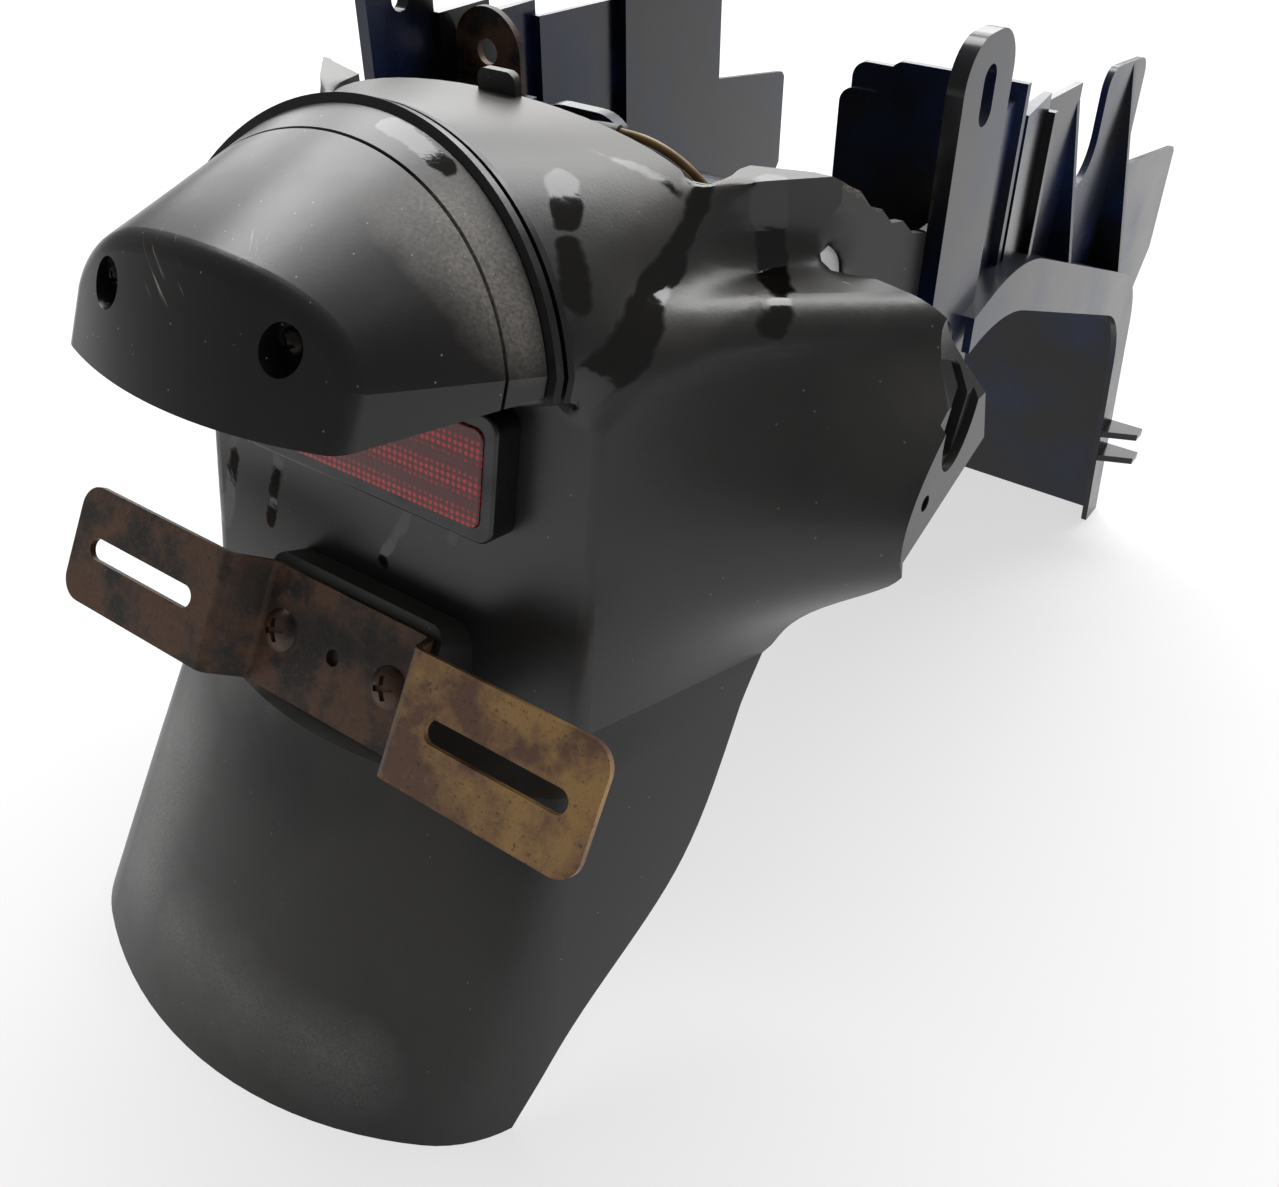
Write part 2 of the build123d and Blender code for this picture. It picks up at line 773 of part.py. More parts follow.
def lead_grommet():
    spot = Location(seat) * Pos(0, seat_rise / 2)
    collar = Pos(0, 0, -wall) * rod(lead_hole / 2 + flange, 0, flange)
    return spot * (rod(lead_hole / 2 - fit / 3, 0, wall) + collar) - tube(sleeve_route, sleeve)


def lead_connectors():
    """Bullet connectors lying on the deck."""
    along = (0, deck_crown_y - deck_rear_y, deck_crown - deck_rear)
    mouth = Pos(0, 0, connector_long) * rod(connector / 4, 0, connector)
    body = rod(connector / 2, connector_long, 0) - mouth
    routes = lead_a_route, lead_b_route
    return [Location(Plane(route[-1], z_dir=along)) * body - lamp_lead(route) for route in routes]


# Inner fender

def under(drop):
    """Side view of everything below the deck's top, let down by a drop."""
    low = mix(deck_drop_y, deck_foot_y, 1.5), mix(deck_drop, 0, 1.5)
    with BuildSketch() as side:
        with BuildLine():
            top = FilletPolyline((deck_rear_y, deck_rear), (deck_crown_y, deck_crown),
                                 (deck_drop_y, deck_drop), low, radius=[deck_crown_round, deck_drop_round])
            Polyline(top @ 1, (deck_rear_y, low[1]), top @ 0)
        make_face()
    return Pos(-0.75 * drop, -drop) * side.sketch


def slab_x(outline, outer, thick):
    """A side outline, drawn as (y, z), as an upright wall with its outer face at a given X."""
    return extrude(Plane.YZ.offset(outer) * outline, -thick)


def slab_y(outline, rear, thick):
    """A rear outline, drawn as (x, z), as a cross wall with its rear face at a given Y."""
    return extrude(Plane.XZ.offset(-rear) * outline, -thick)


def deck():
    body = across(under(0) - under(wall)) & Box(2 * deck_half, 2 * reach * 2, 2 * reach)
    body += both(slab_x(under(0) - under(skirt), deck_half, wall))
    neck = Pos(deck_rear_half + reach / 2, deck_neck_y - reach / 2) * Box(reach, reach, 2 * reach)
    return body - both(neck)


def arm():
    outline = Pos((arm_rear_y + arm_front_y) / 2, (arm_top + arm_base) / 2) * RectangleRounded(
        arm_front_y - arm_rear_y, arm_top - arm_base, (arm_front_y - arm_rear_y) / 2.5)
    outline += closed((arm_rear_y, arm_base), (arm_front_y, arm_base), (arm_front_y, deck_crown),
                      (arm_rear_y, deck_crown))
    outline -= Pos(arm_slot_y, arm_slot_z) * Rot(0, 0, 90) * SlotOverall(arm_slot, arm_slot_wide)
    outline -= Pos(joint_y, joint_z) * Circle(joint_screw / 2 + fit)
    return slab_x(outline, arm_x, arm_thick)


def near_wall():
    """Two slanting panels between the arm and the step in the side wall."""
    long = (jog_y - arm_front_y) / 2
    body = Part()
    for start, top in ((arm_front_y, near_rear_top), (arm_front_y + long, near_top)):
        end = start + long
        inner = near_wall_x - near_zigzag
        plan = closed((near_wall_x, start), (inner, end), (inner - wall, end),
                      (near_wall_x - 2 * wall, start))
        body += extrude(plan, top)
    return body


def far_outline():
    return closed((jog_y - wall, 0), (jog_y - wall, far_rear_top), (notch_y, far_top),
                  (finger_end_y, far_front_top), (finger_end_y, low_top), (front_end - wall, front_top),
                  (front_end, front_top - wall),
                  (front_end, front_base), (mix(deck_drop_y, deck_foot_y, 0.55), front_base / 2),
                  (mix(deck_drop_y, deck_foot_y, 0.55), 0))


def right_far_wall():
    notch = Pos(notch_y, notch_base + notch_wide / 2) * Circle(notch_wide / 2)
    notch += Pos(notch_y, notch_base + notch_wide / 2 + reach / 2) * Rectangle(notch_wide, reach)
    outline = far_outline() - notch
    tips = outline.vertices().filter_by(lambda v: v.Y > far_top - notch_wide / 4 and v.X > notch_y)
    return slab_x(fillet(tips, notch_wide / 4), far_wall_x, wall)


def left_far_wall():
    tall = closed((pillar_y, deck_crown_y / 2), (pillar_y, pillar_top), (pillar_end_y, pillar_top),
                  (pillar_end_y, deck_crown_y / 2))
    right = slab_x(far_outline() + tall, far_wall_x, wall) + slab_x(tall, far_wall_x, pillar_thick)
    return mirror(right, about=Plane.YZ)


def jog_wall():
    outline = closed((far_wall_x - wall, 0), (near_wall_x, 0), (near_wall_x, far_rear_top),
                     (far_wall_x - wall, far_rear_top))
    return slab_y(outline, jog_y - wall, wall)


def gussets():
    """Ribs that brace the side walls on the edge of the deck."""
    body = Part()
    for y in (mix(jog_y, finger_end_y, 0.35), mix(jog_y, finger_end_y, 0.85)):
        outline = closed((far_wall_x - wall / 2, 0), (deck_half, 0), (deck_half, deck_drop),
                         (far_wall_x, deck_crown + gusset), (far_wall_x - wall / 2, deck_crown + gusset))
        body += slab_y(outline, y, wall)
    return body


def right_bulkhead():
    """Cross wall with an S-shaped corner, and a second leaf just in front of it."""
    low = bulkhead_top - shelf_step
    step_x = bulkhead_x + bulkhead_notch
    outline = closed((bulkhead_x, 0), (bulkhead_x, low), (step_x, low), (step_x, bulkhead_top),
                     (upper_end_x + wall, bulkhead_top), (upper_end_x + wall, 0))
    rounds = outline.vertices().filter_by(lambda v: v.X < step_x + 1 and v.Y > low - 1)
    leaf_x = step_x + shelf_step
    leaf_top = bulkhead_top - wall
    leaf = closed((bulkhead_x + wall, 0), (bulkhead_x + wall, leaf_top), (leaf_x, leaf_top), (leaf_x, 0))
    corner = leaf.vertices().filter_by(lambda v: v.X < step_x and v.Y > low)
    front = slab_y(fillet(corner, shelf_step / 2), bulkhead_y + wall, wall)
    return slab_y(fillet(rounds, shelf_step / 2.1), bulkhead_y, wall) + front


def left_bulkhead():
    outer = wall - near_wall_x
    outline = closed((outer, 0), (outer, low_bulkhead_top), (-low_bulkhead_x, low_bulkhead_top),
                     (-low_bulkhead_x, 0))
    for x in (tab_x - rivet_x, tab_x + rivet_x):
        outline -= Pos(x, rivet_z) * Circle(rivet / 2)
    return slab_y(outline, low_bulkhead_y, wall)


def wire_loop():
    """Flat hoop on the rear of the deck that guides the leads."""
    tall = 2 * (loop_top - deck_rear)
    outer = RectangleRounded(loop_wide, tall, loop_wide / 3)
    inner = RectangleRounded(loop_wide - 2 * loop_bar, tall - 2 * loop_bar, loop_wide / 3 - loop_bar)
    return slab_y(Pos(loop_x, deck_rear) * (outer - inner), loop_y, loop_bar)


def lugs():
    """Two small lugs beside the front foot, on the right."""
    body = Part()
    for z in (lug_z, lug_z + lug_long):
        y = mix(deck_drop_y, deck_foot_y, 1 - z / deck_drop)
        tip = deck_half + lug_long
        root = deck_half - wall
        plan = closed((root, y - lug_long), (tip, y - lug_long / 2), (tip, y), (root, y))
        body += extrude(Pos(0, 0, z) * plan, lug_thick)
    return body


def inner_fender():
    uprights = both(near_wall() + jog_wall() + gussets()) + right_far_wall() + left_far_wall()
    uprights += right_bulkhead() + left_bulkhead() + wire_loop()
    body = deck() + (uprights - across(under(wall / 2))) + both(arm()) + lugs()
    return body & Pos(0, 0, reach / 2) * Box(2 * reach, 4 * reach, reach)


def mount_tab():
    """Steel tab with a round top, riveted in front of the left cross wall."""
    outline = Pos(tab_x, tab_hole_z) * Circle(tab_wide / 2)
    outline += Pos(tab_x, (tab_hole_z + tab_base) / 2) * Rectangle(tab_wide, tab_hole_z - tab_base)
    outline -= Pos(tab_x, tab_hole_z) * Circle(tab_hole / 2)
    for x in (tab_x - rivet_x, tab_x + rivet_x):
        outline -= Pos(x, rivet_z) * Circle(rivet / 2)
    return slab_y(outline, low_bulkhead_y + wall, tab_steel)


def tab_rivets():
    grip = wall + tab_steel
    head = rod(rivet_head / 2, rivet_rise, 0)
    piece = rod(rivet / 2, 0, grip) + head + Pos(0, 0, -grip - rivet_rise) * head
    return [along_y(x, low_bulkhead_y, rivet_z) * piece for x in (tab_x - rivet_x, tab_x + rivet_x)]


def sideways(x):
    """Spot on the right whose top faces outwards, at the screw that holds an arm."""
    return Location(Plane((x, joint_y, joint_z), x_dir=(0, 1, 0), z_dir=(1, 0, 0)))


def joint_screws():
    length = arm_thick + wall + nut_tall + 1
    return both(sideways(arm_x) * truss_screw(joint_screw, joint_head, joint_rise, length))


def joint_nuts():
    return both(sideways(upper_end_x - wall - nut_tall) * nut(joint_screw, nut_flats - 2, nut_tall))


def pieces():
    """Every node and its solids."""
    return {
        "rear_fender": rear_fender(),
        "inner_fender": inner_fender(),
        "joint_screws": joint_screws(),
        "joint_nuts": joint_nuts(),
        "mount_tab": mount_tab(),
        "tab_rivets": tab_rivets(),
        "plate_bracket": plate_bracket(),
        "plate_screws": plate_screws(),
        "plate_washers": plate_washers(),
        "plate_nuts": plate_nuts(),
        "reflector_housing": reflector_housing(),
        "reflector_lens": reflector_lens(),
        "reflector_nut": reflector_nut(),
        "lamp_cover": lamp_cover(),
        "lamp_gasket": lamp_gasket(),
        "lamp_base": lamp_base(),
        "lamp_nuts": lamp_nuts(),
        "lamp_window": lamp_window(),
        "lamp_bulb": lamp_bulb(),
        "bulb_holder": bulb_holder(),
        "cover_screws": cover_screws(),
        "lead_grommet": lead_grommet(),
        "lead_sleeve": lead_sleeve(),
        "lamp_lead_a": lamp_lead(lead_a_route),
        "lamp_lead_b": lamp_lead(lead_b_route),
        "lead_connectors": lead_connectors(),
    }


if __name__ == "__main__":
    os.makedirs("parts", exist_ok=True)
    for name, solids in pieces().items():
        group = Part() + solids
        export_step(Pos(0, shift_y, 0) * group, f"parts/{name}.step")
        print(name, group.is_valid, len(group.solids()), round(group.volume))
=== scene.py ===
import bmesh
import bpy
import math
import numpy
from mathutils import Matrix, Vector


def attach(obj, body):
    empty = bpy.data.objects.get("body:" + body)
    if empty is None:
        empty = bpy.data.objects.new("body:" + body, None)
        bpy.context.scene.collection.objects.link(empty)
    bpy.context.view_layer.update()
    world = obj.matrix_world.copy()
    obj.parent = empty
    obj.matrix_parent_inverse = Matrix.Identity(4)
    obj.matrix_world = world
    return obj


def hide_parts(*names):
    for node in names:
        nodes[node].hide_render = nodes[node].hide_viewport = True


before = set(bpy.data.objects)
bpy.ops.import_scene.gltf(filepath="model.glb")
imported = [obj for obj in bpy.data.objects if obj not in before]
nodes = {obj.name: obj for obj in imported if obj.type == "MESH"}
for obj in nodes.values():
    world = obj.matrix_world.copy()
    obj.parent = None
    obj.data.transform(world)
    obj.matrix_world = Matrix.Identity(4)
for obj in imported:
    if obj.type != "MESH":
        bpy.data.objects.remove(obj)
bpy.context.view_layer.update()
print("frame loaded:", len(nodes), "nodes")

mm = 0.001


def perMm(size):
    # texture scale for a pattern of this size in mm
    return 1 / (size * mm)


def hexLinear(code):
    parts = [int(code[i:i + 2], 16) / 255 for i in (0, 2, 4)]
    return [c / 12.92 if c <= 0.04045 else ((c + 0.055) / 1.055) ** 2.4 for c in parts] + [1]


def addNode(tree, kind, inputs=None, out=0, **settings):
    # inputs that are sockets are linked, the others are values; gives back one output
    node = tree.nodes.new("ShaderNode" + kind)
    for name, value in settings.items():
        setattr(node, name, value)
    for name, value in (inputs or {}).items():
        if isinstance(value, bpy.types.NodeSocket):
            tree.links.new(value, node.inputs[name])
        else:
            node.inputs[name].default_value = value
    return node.outputs[out]


def newMaterial(name, values):
    # values are the same all over the surface
    material = bpy.data.materials.new(name)
    material.use_nodes = True
    tree = material.node_tree
    shader = tree.nodes["Principled BSDF"]
    for socket, value in values.items():
        shader.inputs[socket].default_value = value
    return material, tree, shader


def wireShader(tree, shader, sockets):
    for name, socket in sockets.items():
        tree.links.new(socket, shader.inputs[name])


def paintsOf(look):
    return {name: hexLinear(code) for name, code in look["paints"].items()}


def paintOver(tree, colour, layers):
    # lays each colour over the ones before, where its mask is 1
    for mask, layer in layers:
        colour = addNode(tree, "Mix", {0: mask, 6: colour, 7: layer}, 2, data_type="RGBA")
    return colour


def warped(tree, place, size, reach):
    # shifts places by up to reach in mm, so that an edge wanders
    noise = addNode(tree, "TexNoise", {"Vector": place, "Scale": perMm(size), "Detail": 3}, "Color")
    centred = addNode(tree, "VectorMath", {0: noise, 1: (0.5, 0.5, 0.5)}, operation="SUBTRACT")
    moved = addNode(tree, "VectorMath", {0: centred, "Scale": 2 * reach * mm}, operation="SCALE")
    return addNode(tree, "VectorMath", {0: place, 1: moved}, operation="ADD")


def markMask(tree, place, mark):
    # 1 inside a mark's lines, each a start, an end and a radius in mm, faded over "soft"
    for size, reach in mark["wander"]:
        place = warped(tree, place, size, reach)
    total = 0
    for start, end, radius in mark["lines"]:
        origin = Vector(start) * mm
        along = Vector(end) * mm - origin
        away = addNode(tree, "VectorMath", {0: place, 1: origin}, operation="SUBTRACT")
        share = addNode(tree, "VectorMath", {0: away, 1: along / along.length_squared}, "Value",
                        operation="DOT_PRODUCT")
        share = addNode(tree, "MapRange", {0: share})
        onLine = addNode(tree, "VectorMath", {0: along, "Scale": share}, operation="SCALE")
        gap = addNode(tree, "VectorMath", {0: away, 1: onLine}, "Value", operation="DISTANCE")
        inside = addNode(tree, "MapRange", {0: gap, 1: radius * mm, 2: (radius - mark["soft"]) * mm})
        total = addNode(tree, "Math", {0: total, 1: inside}, operation="MAXIMUM")
    return total


def settledDust(tree, patches, start, most):
    # dust in patches on the faces that look up
    normal = addNode(tree, "NewGeometry", out="Normal")
    up = addNode(tree, "SeparateXYZ", {0: normal}, "Z")
    film = addNode(tree, "MapRange", {0: up, 1: start, 2: 1, 4: most})
    return addNode(tree, "Math", {0: film, 1: patches}, operation="MULTIPLY")


tailFinish = {
    "ior": 1.53, "roughness": (0.33, 0.42), "oilRoughness": 0.22, "dust": (0.2, 0.4),
    # rub is rubbed wear and, on the lower left of the tongue, also a painted sheen
    "paints": {"dark": "191919", "pale": "252525", "dust": "76726c",
               "oil": "0c0906", "rub": "8c8b89", "torn": "8f7a62"},
    "grain": 0.8,  # coarser than the mould's own grain, so that it shows
    "grainDepth": 0.1, "cloud": 70, "speck": 7, "bead": 3, "beadDepth": 0.3,
    "oil": {"wander": [(16, 4), (5, 0.8)], "soft": 1.2, "lines": [
        ((79, -74.5, 239), (81, -74, 223), 5), ((81, -74, 223), (89, -83, 216.5), 5),
        ((89, -83, 216.5), (95, -97, 211.5), 4), ((66, -84, 238), (69, -100, 224), 3.5),
        ((69, -100, 224), (71, -115, 215), 5), ((71, -115, 215), (72, -129, 208), 6),
        ((72, -129, 208), (67, -138, 200), 6), ((45, -113, 241), (51, -118, 236.5), 4.5),
        ((56, -123, 231), (62, -129, 222), 4), ((-63, -143, 150), (-70, -148, 118), 3),
        ((-44, -143, 146), (-48, -147, 126), 3), ((13, -143, 160), (1, -146.5, 130), 2.5),
        ((30, -141, 160), (27, -143, 148), 2), ((40, -98, 246), (64, -90, 237), 1.8),
    ]},
    # rubbed wear, whose pale colour on the lower left of the tongue is also a painted sheen
    "rubs": {"wander": [(25, 10)], "soft": 20, "lines": [
        ((-60, -190, 60), (-54, -216, 28), 26), ((-30, -226, 22), (44, -227, 15), 19),
        ((-40, -180, 88), (-18, -181, 89), 9),
    ]},
    "tornEdges": {"wander": [(4, 1.5)], "soft": 1.5, "lines": [
        ((92, -58, 236), (97, -46, 228), 2.5), ((97, -46, 228), (101, -30, 222), 2),
    ]},
}


def tailPlastic():
    # polypropylene, injection moulded with a fine grain:
    # satin charcoal, dusty on top, wet with oil in streaks
    look = tailFinish
    paint = paintsOf(look)
    material, tree, shader = newMaterial("tailPolypropylene", {"IOR": look["ior"]})
    place = addNode(tree, "TexCoord", out="Object")
    grain = addNode(tree, "TexNoise", {"Vector": place, "Scale": perMm(look["grain"]), "Detail": 2})
    cloud = addNode(tree, "TexNoise", {"Vector": place, "Scale": perMm(look["cloud"]), "Detail": 5})
    patches = addNode(tree, "MapRange", {0: cloud, 1: 0.3, 2: 0.65})
    film = settledDust(tree, patches, *look["dust"])
    worn = addNode(tree, "MapRange", {0: grain, 1: 0.3, 2: 0.8, 3: 0.25, 4: 0.65})
    # rubbed wear and a painted sheen: the pale rub colour, strongest on the lower left of the tongue,
    # stands in for light it catches
    rub = markMask(tree, place, look["rubs"])
    rub = addNode(tree, "Math", {0: rub, 1: worn}, operation="MULTIPLY")
    cell = addNode(tree, "TexVoronoi", {"Vector": place, "Scale": perMm(look["speck"])})
    speck = addNode(tree, "MapRange", {0: cell, 1: 0.05, 2: 0.03, 4: 0.8})
    fibres = addNode(tree, "MapRange", {0: grain, 1: 0.4, 2: 0.6})
    torn = markMask(tree, place, look["tornEdges"])
    torn = addNode(tree, "Math", {0: torn, 1: fibres}, operation="MULTIPLY")
    oil = markMask(tree, place, look["oil"])
    colour = paintOver(tree, paint["dark"], [
        (cloud, paint["pale"]), (film, paint["dust"]), (rub, paint["rub"]),
        (speck, paint["dust"]), (torn, paint["torn"]), (oil, paint["oil"]),
    ])
    least, most = look["roughness"]
    dry = addNode(tree, "MapRange", {0: cloud, 1: 0.3, 2: 0.7, 3: least, 4: most})
    wet = addNode(tree, "MapRange", {0: oil, 3: 1, 4: look["oilRoughness"]})
    roughness = addNode(tree, "Math", {0: dry, 1: wet}, operation="MULTIPLY")
    # the mould's grain where the plastic is dry, and small beads where the oil lies on it
    dryPart = addNode(tree, "MapRange", {0: oil, 2: 0.6, 3: 0.3, 4: 0})
    normal = addNode(tree, "Bump", {"Height": grain, "Distance": look["grainDepth"] * mm,
                                    "Strength": dryPart})
    bead = addNode(tree, "TexVoronoi", {"Vector": place, "Scale": perMm(look["bead"])})
    wetPart = addNode(tree, "MapRange", {0: oil, 4: 0.08})
    normal = addNode(tree, "Bump", {"Height": bead, "Distance": look["beadDepth"] * mm,
                                    "Strength": wetPart, "Normal": normal}, invert=True)
    wireShader(tree, shader, {"Base Color": colour, "Roughness": roughness, "Normal": normal})
    return material


innerFinish = {
    "ior": 1.46, "roughness": (0.14, 0.32), "dust": (0.3, 0.5),
    # the blue paint is a painted reflection, laid in patches over the dark plastic
    "paints": {"dark": "16171b", "blueReflection": "16254c", "dust": "5a5b5e"},
    "grain": 1.2, "grainShare": 0.05, "cloud": 45, "wave": 30, "waveDepth": 1.2, "bump": 0.12,
}


def innerPlastic():
    # polypropylene, moulded in a polished tool: glossy and near black with hazy rubs, and blue patches that
    # are a painted reflection
    look = innerFinish
    paint = paintsOf(look)
    material, tree, shader = newMaterial("innerPolypropylene", {"IOR": look["ior"]})
    place = addNode(tree, "TexCoord", out="Object")
    cloud = addNode(tree, "TexNoise", {"Vector": place, "Scale": perMm(look["cloud"]), "Detail": 5})
    grain = addNode(tree, "TexNoise", {"Vector": place, "Scale": perMm(look["grain"]), "Detail": 2})
    wave = addNode(tree, "TexNoise", {"Vector": place, "Scale": perMm(look["wave"]), "Detail": 2})
    # painted reflection: patches of blue where the glossy walls would mirror something blue
    blueReflectionPatches = addNode(tree, "MapRange", {0: cloud, 1: 0.45, 2: 0.65})
    film = settledDust(tree, cloud, *look["dust"])
    colour = paintOver(tree, paint["dark"], [(blueReflectionPatches, paint["blueReflection"]), (film, paint["dust"])])
    least, most = look["roughness"]
    roughness = addNode(tree, "MapRange", {0: cloud, 1: 0.3, 2: 0.7, 3: least, 4: most})
    height = addNode(tree, "Math", {0: grain, 1: look["grainShare"], 2: wave}, operation="MULTIPLY_ADD")
    normal = addNode(tree, "Bump", {"Height": height, "Distance": look["waveDepth"] * mm,
                                    "Strength": look["bump"]})
    wireShader(tree, shader, {"Base Color": colour, "Roughness": roughness, "Normal": normal})
    return material


coverFinish = {
    "ior": 1.53, "roughness": (0.26, 0.34), "rubRoughness": 0.16, "oilRoughness": 0.2,
    "paints": {"dark": "121214", "warm": "1d1815", "haze": "a8a29a", "scratch": "b4aca2", "oil": "0d0a06"},
    "grain": 0.9, "grainDepth": 0.1, "bump": 0.12, "cloud": 30, "speck": 4,
    "rubs": {"wander": [(18, 7)], "soft": 14, "lines": [((37, -146, 242), (57, -147.5, 225), 17)]},
    "scuffs": {"wander": [(9, 5)], "soft": 6, "lines": [
        ((-15, -186, 238), (-3, -192, 228), 8), ((20, -176, 241), (2, -180, 241), 4),
    ]},
    "oil": {"wander": [(8, 3)], "soft": 0.8, "lines": [((10, -133, 254), (30, -135, 249), 3.5)]},
    # length and width of a scratch in mm, and which way the scratches run
    "scratchLong": 14, "scratchWide": 0.9, "scratchShow": 0.7,
    "scratchAlong": (0.74, -0.37, -0.56), "scratchAcross": (0.667, 0.303, 0.681),
}


def coverPlastic():
    # ABS, moulded semi-gloss: smooth black with dust, a hazy rub on the right and scratches behind
    look = coverFinish
    paint = paintsOf(look)
    material, tree, shader = newMaterial("coverAbs", {"IOR": look["ior"]})
    place = addNode(tree, "TexCoord", out="Object")
    cloud = addNode(tree, "TexNoise", {"Vector": place, "Scale": perMm(look["cloud"]), "Detail": 5})
    grain = addNode(tree, "TexNoise", {"Vector": place, "Scale": perMm(look["grain"]), "Detail": 3})
    rub = markMask(tree, place, look["rubs"])
    worn = addNode(tree, "MapRange", {0: grain, 1: 0.3, 2: 0.8, 3: 0.2, 4: 0.6})
    haze = addNode(tree, "Math", {0: rub, 1: worn}, operation="MULTIPLY")
    cell = addNode(tree, "TexVoronoi", {"Vector": place, "Scale": perMm(look["speck"])})
    speck = addNode(tree, "MapRange", {0: cell, 1: 0.07, 2: 0.04, 4: 0.7})
    # long thin noise makes the scratches
    lines = {}
    for axis, way, size in ((0, "scratchAlong", "scratchLong"), (1, "scratchAcross", "scratchWide")):
        run = addNode(tree, "VectorMath", {0: place, 1: look[way]}, "Value", operation="DOT_PRODUCT")
        lines[axis] = addNode(tree, "Math", {0: run, 1: perMm(look[size])}, operation="MULTIPLY")
    stretched = addNode(tree, "CombineXYZ", lines)
    hair = addNode(tree, "TexNoise", {"Vector": stretched, "Scale": 1, "Detail": 2})
    hair = addNode(tree, "MapRange", {0: hair, 1: 0.62, 2: 0.7, 4: look["scratchShow"]})
    scuff = markMask(tree, place, look["scuffs"])
    scratch = addNode(tree, "Math", {0: scuff, 1: hair}, operation="MULTIPLY")
    oil = markMask(tree, place, look["oil"])
    colour = paintOver(tree, paint["dark"], [
        (cloud, paint["warm"]), (haze, paint["haze"]), (speck, paint["haze"]),
        (scratch, paint["scratch"]), (oil, paint["oil"]),
    ])
    least, most = look["roughness"]
    dry = addNode(tree, "MapRange", {0: cloud, 1: 0.3, 2: 0.7, 3: least, 4: most})
    dry = addNode(tree, "Math", {0: rub, 1: look["rubRoughness"], 2: dry}, operation="MULTIPLY_ADD")
    wet = addNode(tree, "MapRange", {0: oil, 3: 1, 4: look["oilRoughness"]})
    roughness = addNode(tree, "Math", {0: dry, 1: wet}, operation="MULTIPLY")
    normal = addNode(tree, "Bump", {"Height": grain, "Distance": look["grainDepth"] * mm,
                                    "Strength": look["bump"]})
    wireShader(tree, shader, {"Base Color": colour, "Roughness": roughness, "Normal": normal})
    return material


rustFinish = {
    "metallic": 0.1, "roughness": (0.4, 0.62), "oilRoughness": 0.7, "oilShow": 0.8,
    "paints": {"brown": "5e4230", "dark": "1f1a17", "orange": "8a5428",
               "gold": "b08a55", "purple": "70503f", "oil": "14110f"},
    "patch": 16, "pit": 1.6, "pitDepth": 0.25, "bump": 0.4,
    "goldFrom": (34, 40),  # the right wing, in mm along X
    "stains": {"wander": [(10, 7)], "soft": 7, "lines": [
        ((-30, -168, 124), (-40, -172, 112), 10), ((-78, -176, 124), (-84, -178, 121), 6),
        ((-60, -178, 118), (-50, -176, 121), 5), ((-20, -167, 112), (26, -167, 118), 9),
    ]},
}


def rustedSteel():
    # mild steel strip whose plating has gone: brown and golden rust, pitted, with oily black stains
    look = rustFinish
    paint = paintsOf(look)
    material, tree, shader = newMaterial("rustedStrip", {"Metallic": look["metallic"]})
    place = addNode(tree, "TexCoord", out="Object")
    patch = addNode(tree, "TexNoise", {"Vector": place, "Scale": perMm(look["patch"]), "Detail": 6,
                                       "Roughness": 0.62})
    pit = addNode(tree, "TexNoise", {"Vector": place, "Scale": perMm(look["pit"]), "Detail": 4,
                                     "Roughness": 0.7})
    side = addNode(tree, "SeparateXYZ", {0: place}, "X")
    start, end = look["goldFrom"]
    right = addNode(tree, "MapRange", {0: side, 1: start * mm, 2: end * mm})
    golden = addNode(tree, "MapRange", {0: patch, 1: 0.42, 2: 0.6})
    warm = paintOver(tree, paint["purple"], [(golden, paint["gold"])])
    brown = addNode(tree, "MapRange", {0: patch, 1: 0.4, 2: 0.56})
    fresh = addNode(tree, "MapRange", {0: pit, 1: 0.55, 2: 0.72, 4: 0.5})
    deep = addNode(tree, "MapRange", {0: pit, 1: 0.42, 2: 0.32, 4: 0.7})
    stain = markMask(tree, place, look["stains"])
    oil = addNode(tree, "Math", {0: stain, 1: look["oilShow"]}, operation="MULTIPLY")
    colour = paintOver(tree, paint["dark"], [
        (brown, paint["brown"]), (right, warm), (fresh, paint["orange"]),
        (deep, paint["dark"]), (oil, paint["oil"]),
    ])
    least, most = look["roughness"]
    dry = addNode(tree, "MapRange", {0: patch, 1: 0.3, 2: 0.7, 3: least, 4: most})
    wet = addNode(tree, "MapRange", {0: stain, 3: 1, 4: look["oilRoughness"]})
    roughness = addNode(tree, "Math", {0: dry, 1: wet}, operation="MULTIPLY")
    normal = addNode(tree, "Bump", {"Height": pit, "Distance": look["pitDepth"] * mm,
                                    "Strength": look["bump"]})
    wireShader(tree, shader, {"Base Color": colour, "Roughness": roughness, "Normal": normal})
    return material


reflectorFinish = {
    # the bright red is a painted glint of the prisms
    "ior": 1.49, "roughness": 0.2, "paints": {"deep": "5a080d", "prismGlint": "d2202a"},
    "prism": 1.9, "prismDepth": 0.4, "bump": 0.25,
}


def reflectorRed():
    # red acrylic with moulded prisms behind a clear face: deep red, with painted glints as bright points on
    # the prisms
    look = reflectorFinish
    paint = paintsOf(look)
    material, tree, shader = newMaterial("redAcrylic", {"IOR": look["ior"], "Roughness": look["roughness"]})
    place = addNode(tree, "TexCoord", out="Object")
    prism = addNode(tree, "TexVoronoi", {"Vector": place, "Scale": perMm(look["prism"]), "Randomness": 0.1})
    # painted glints: the middle of each prism cell is coloured bright red, standing in for light the prisms
    # send back
    point = addNode(tree, "MapRange", {0: prism, 1: 0.45, 2: 0.2})
    colour = paintOver(tree, paint["deep"], [(point, paint["prismGlint"])])
    normal = addNode(tree, "Bump", {"Height": prism, "Distance": look["prismDepth"] * mm,
                                    "Strength": look["bump"]})
    wireShader(tree, shader, {"Base Color": colour, "Normal": normal})
    return material


